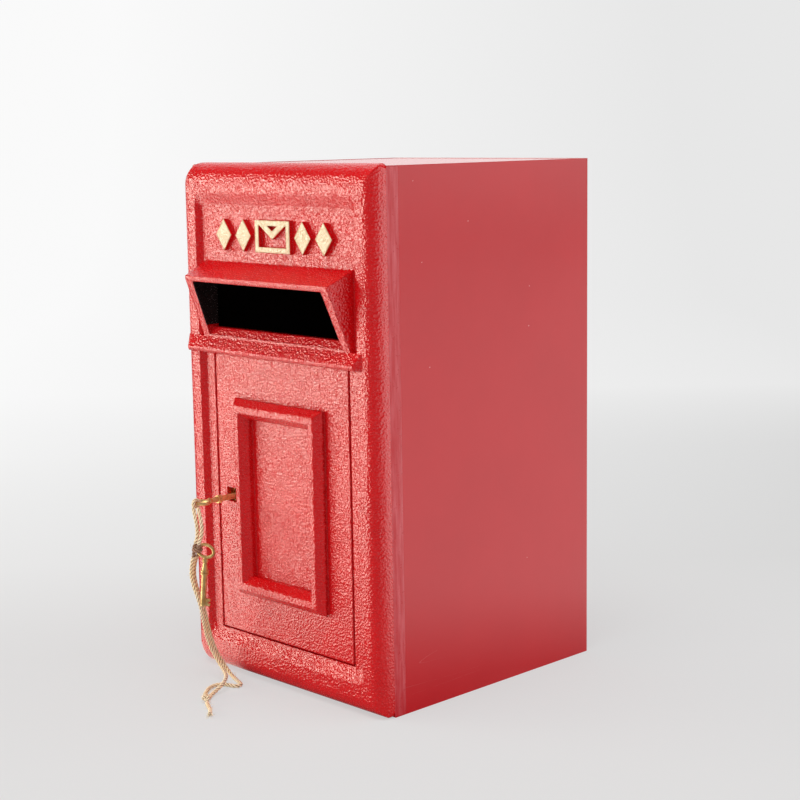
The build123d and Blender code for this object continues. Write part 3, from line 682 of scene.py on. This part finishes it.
def make_tail(material):
    """The short end past the knot, with its plies opening and its fibres frayed."""
    line, _ = even_steps(spline_points(TAIL), PLY_STEP)
    shape = Shape()
    shape.add_plies(line, TWINE / 2, lambda share: 1.0 + 0.6 * max(0.0, share - 0.7))
    rng = random.Random(FRAY_SEED)
    ahead = (line[-1] - line[-3]).normalized()
    side = UP.cross(ahead)
    radii = [FRAY_RADIUS * (1 - 0.5 * step / FRAY_STEPS) for step in range(FRAY_STEPS + 1)]
    for _ in range(FRAY_HAIRS):
        reach = rng.uniform(3.5, 8.5) * MM
        fan = rng.uniform(-0.55, 0.55)
        lift = rng.uniform(-0.25, 0.35)
        start = line[-2] + side * rng.uniform(-1.3, 1.3) * MM + UP * rng.uniform(-1.2, 1.2) * MM
        hair = []
        for step in range(FRAY_STEPS + 1):
            t = step / FRAY_STEPS
            place = start + (ahead + side * fan * t + UP * lift * t) * (reach * t)
            place.z = max(place.z, FRAY_FLOOR)
            hair.append(place)
        shape.add_tube(hair, radii, 3)
    piece = shape.make("frayed_end", "twine", material)
    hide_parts("twine_tail")
    return line


# Stage: how bright the paper is, by its depth along the view, and how much of that is a glow of its own

DEPTH_RANGE = (-0.1, 1.6)
PAPER_NEAR = 0.705
PAPER_FAR = 0.89
GLOW_NEAR = 0.7
GLOW_FAR = 0.97

# Painted light: the paper is brighter on the left, on the key light's side, and darker on the right, most of
# all in the middle depths
UNEVEN_GAIN = 0.18
UNEVEN_BEGINS = (0.06, 0.26)
UNEVEN_FADES = (0.65, 1.0)
UNEVEN_HALF_WIDTH = 0.9

# Seen by reflection the paper is bright in three directions from the box and dim elsewhere
MIRROR_LEFT = (-0.669, -0.743)
MIRROR_RIGHT = (0.766, 0.643)
MIRROR_BACK = (-0.766, 0.643)
MIRROR_LEVELS = (4.7, 1.5, 1.15)
MIRROR_EDGES = ((0.962, 0.988), (0.2, 0.95), (0.80, 0.95))
MIRROR_DIM = 0.09
MIRROR_TINT = (1.0, 0.95, 0.84, 1.0)

# Near the box's foot the reflection is weaker
MIRROR_RISE = (0.15, 0.40)
MIRROR_FOOT = 0.2


def mirrored_level(n):
    """How bright the paper is to polished faces, and how far it lies to the left."""
    kind = "ShaderNodeVectorMath"
    flat = n.add(kind, {0: n.place, 1: (1.0, 1.0, 0.0)}, operation="MULTIPLY").outputs[0]
    away = n.add(kind, {0: flat}, operation="NORMALIZE").outputs[0]
    distance = n.add(kind, {0: flat}, operation="LENGTH").outputs["Value"]
    rise = n.spread(distance, *MIRROR_RISE, MIRROR_FOOT, 1.0)
    total = MIRROR_DIM
    shares = []
    for (x, y), level, edges in zip((MIRROR_LEFT, MIRROR_RIGHT, MIRROR_BACK), MIRROR_LEVELS, MIRROR_EDGES):
        facing = n.add(kind, {0: away, 1: (x, y, 0.0)}, operation="DOT_PRODUCT").outputs["Value"]
        shares.append(n.spread(facing, *edges))
        total = n.math("ADD", total, n.math("MULTIPLY", rise, n.math("MULTIPLY", shares[-1], level)))
    return total, shares[0]


def backdrop_paper():
    """Matt paper. What looks at it straight or by reflection also sees a glow of its own, with painted light
    brighter on the left.
    """
    n = Surface("backdrop")
    pale = n.noise(2.0, 2, 0.5)
    n.finish(
        Base_Color=n.mix(pale, (0.80, 0.80, 0.80, 1), (0.82, 0.82, 0.82, 1)), Roughness=0.8,
        Specular_IOR_Level=0.2,
    )
    along_view = n.add("ShaderNodeMapping", {"Vector": n.place, "Rotation": (0.0, 0.0, -CAMERA_YAW)})
    parts = n.add("ShaderNodeSeparateXYZ", {0: along_view.outputs[0]}).outputs
    depth = n.spread(parts[1], *DEPTH_RANGE)
    # Painted light: the glow is brighter on the left and darker on the right
    begun = n.spread(depth, *UNEVEN_BEGINS, 0.0, UNEVEN_GAIN)
    uneven = n.math("MULTIPLY", begun, n.spread(depth, *UNEVEN_FADES, 1.0, 0.5))
    to_right = n.spread(parts[0], -UNEVEN_HALF_WIDTH, UNEVEN_HALF_WIDTH, -1.0, 1.0)
    level = n.math("MULTIPLY", n.spread(depth, 0.0, 1.0, PAPER_NEAR, PAPER_FAR),
                   n.math("SUBTRACT", 1.0, n.math("MULTIPLY", to_right, uneven)))
    mirrored, to_left = mirrored_level(n)
    ray = n.add("ShaderNodeLightPath").outputs
    glossy = ray["Is Glossy Ray"]
    strength = n.add("ShaderNodeMix", {0: glossy, 2: level, 3: mirrored}, data_type="FLOAT").outputs[0]
    tint = n.mix(n.math("MULTIPLY", to_left, glossy), (1.0, 1.0, 1.0, 1.0), MIRROR_TINT)
    glow = n.add("ShaderNodeEmission", {"Color": tint, "Strength": strength}).outputs[0]
    seen = n.math("MAXIMUM", ray["Is Camera Ray"], ray["Is Transmission Ray"])
    share = n.math("MULTIPLY", seen, n.spread(depth, 0.0, 1.0, GLOW_NEAR, GLOW_FAR))
    share = n.math("MAXIMUM", share, glossy)
    blend = n.add("ShaderNodeMixShader", {0: share, 1: n.shader.outputs[0], 2: glow}).outputs[0]
    n.tree.links.new(blend, n.tree.nodes["Material Output"].inputs["Surface"])
    return n.material


STAGE_HALF_WIDTH = 6.0
STAGE_FRONT = -6.0
STAGE_BACK = 3.0
STAGE_HEIGHT = 6.0
STAGE_CURVE = 1.2
STAGE_CURVE_STEPS = 12


def make_stage():
    """A pale floor that curves up into a backdrop behind the box."""
    profile = [(STAGE_FRONT, 0.0), (STAGE_BACK, 0.0)]
    for step in range(1, STAGE_CURVE_STEPS + 1):
        angle = math.pi / 2 * step / STAGE_CURVE_STEPS
        profile.append((STAGE_BACK + STAGE_CURVE * math.sin(angle), STAGE_CURVE * (1 - math.cos(angle))))
    profile.append((STAGE_BACK + STAGE_CURVE, STAGE_HEIGHT))
    turn = Matrix.Rotation(CAMERA_YAW, 3, "Z")
    verts = [turn @ Vector((x, y, z)) for y, z in profile for x in (-STAGE_HALF_WIDTH, STAGE_HALF_WIDTH)]
    faces = [(a, a + 1, a + 3, a + 2) for a in range(0, len(verts) - 2, 2)]
    mesh = bpy.data.meshes.new("backdrop")
    mesh.from_pydata(verts, [], faces)
    mesh.polygons.foreach_set("use_smooth", [True] * len(faces))
    mesh.materials.append(backdrop_paper())
    backdrop = bpy.data.objects.new("backdrop", mesh)
    bpy.context.collection.objects.link(backdrop)


# Lights, and the room's level as light, by reflection and to the camera

ROOM_LIGHT = 0.38
ROOM_MIRRORED = 0.02
ROOM_SEEN = 0.84
KEY_TINT = (1.0, 0.96, 0.84)


def area_light(name, place, target, size, power, tint=(1, 1, 1), mirrored=True):
    data = bpy.data.lights.new(name, "AREA")
    data.shape = "RECTANGLE"
    data.size, data.size_y = size
    data.energy = power
    data.color = tint
    lamp = bpy.data.objects.new(name, data)
    lamp.location = place
    lamp.rotation_euler = (Vector(target) - Vector(place)).to_track_quat("-Z", "Y").to_euler()
    lamp.visible_glossy = mirrored
    bpy.context.collection.objects.link(lamp)


def make_lights():
    world = bpy.data.worlds.new("studio")
    bpy.context.scene.world = world
    world.use_nodes = True
    n = Nodes(world.node_tree)
    ray = n.add("ShaderNodeLightPath").outputs
    unseen = n.spread(ray["Is Glossy Ray"], 0.0, 1.0, ROOM_LIGHT, ROOM_MIRRORED)
    background = n.tree.nodes["Background"]
    n.feed(background, "Color", (1.0, 1.0, 1.0, 1.0))
    n.feed(background, "Strength", n.spread(ray["Is Camera Ray"], 0.0, 1.0, unseen, ROOM_SEEN))
    area_light("key_softbox", (-1.97, -1.60, 0.59), (0, -0.13, 0.45), (1.6, 0.56), 28, KEY_TINT)
    area_light("front_fill", (0.5, -2.4, 0.9), (0, 0, 0.25), (1.8, 1.4), 11, mirrored=False)
    area_light("rear_panel", (2.1, 1.5, 1.05), (0, 0, 0.3), (2.6, 1.6), 23)
    area_light("overhead", (0.3, -0.5, 2.4), (0, 0, 0.1), (1.8, 1.4), 28, mirrored=False)


make_camera()
finishes = finish_cad_nodes()
make_twine(finishes["twine"])
make_stage()
make_lights()
bpy.context.scene.view_settings.view_transform = "Standard"
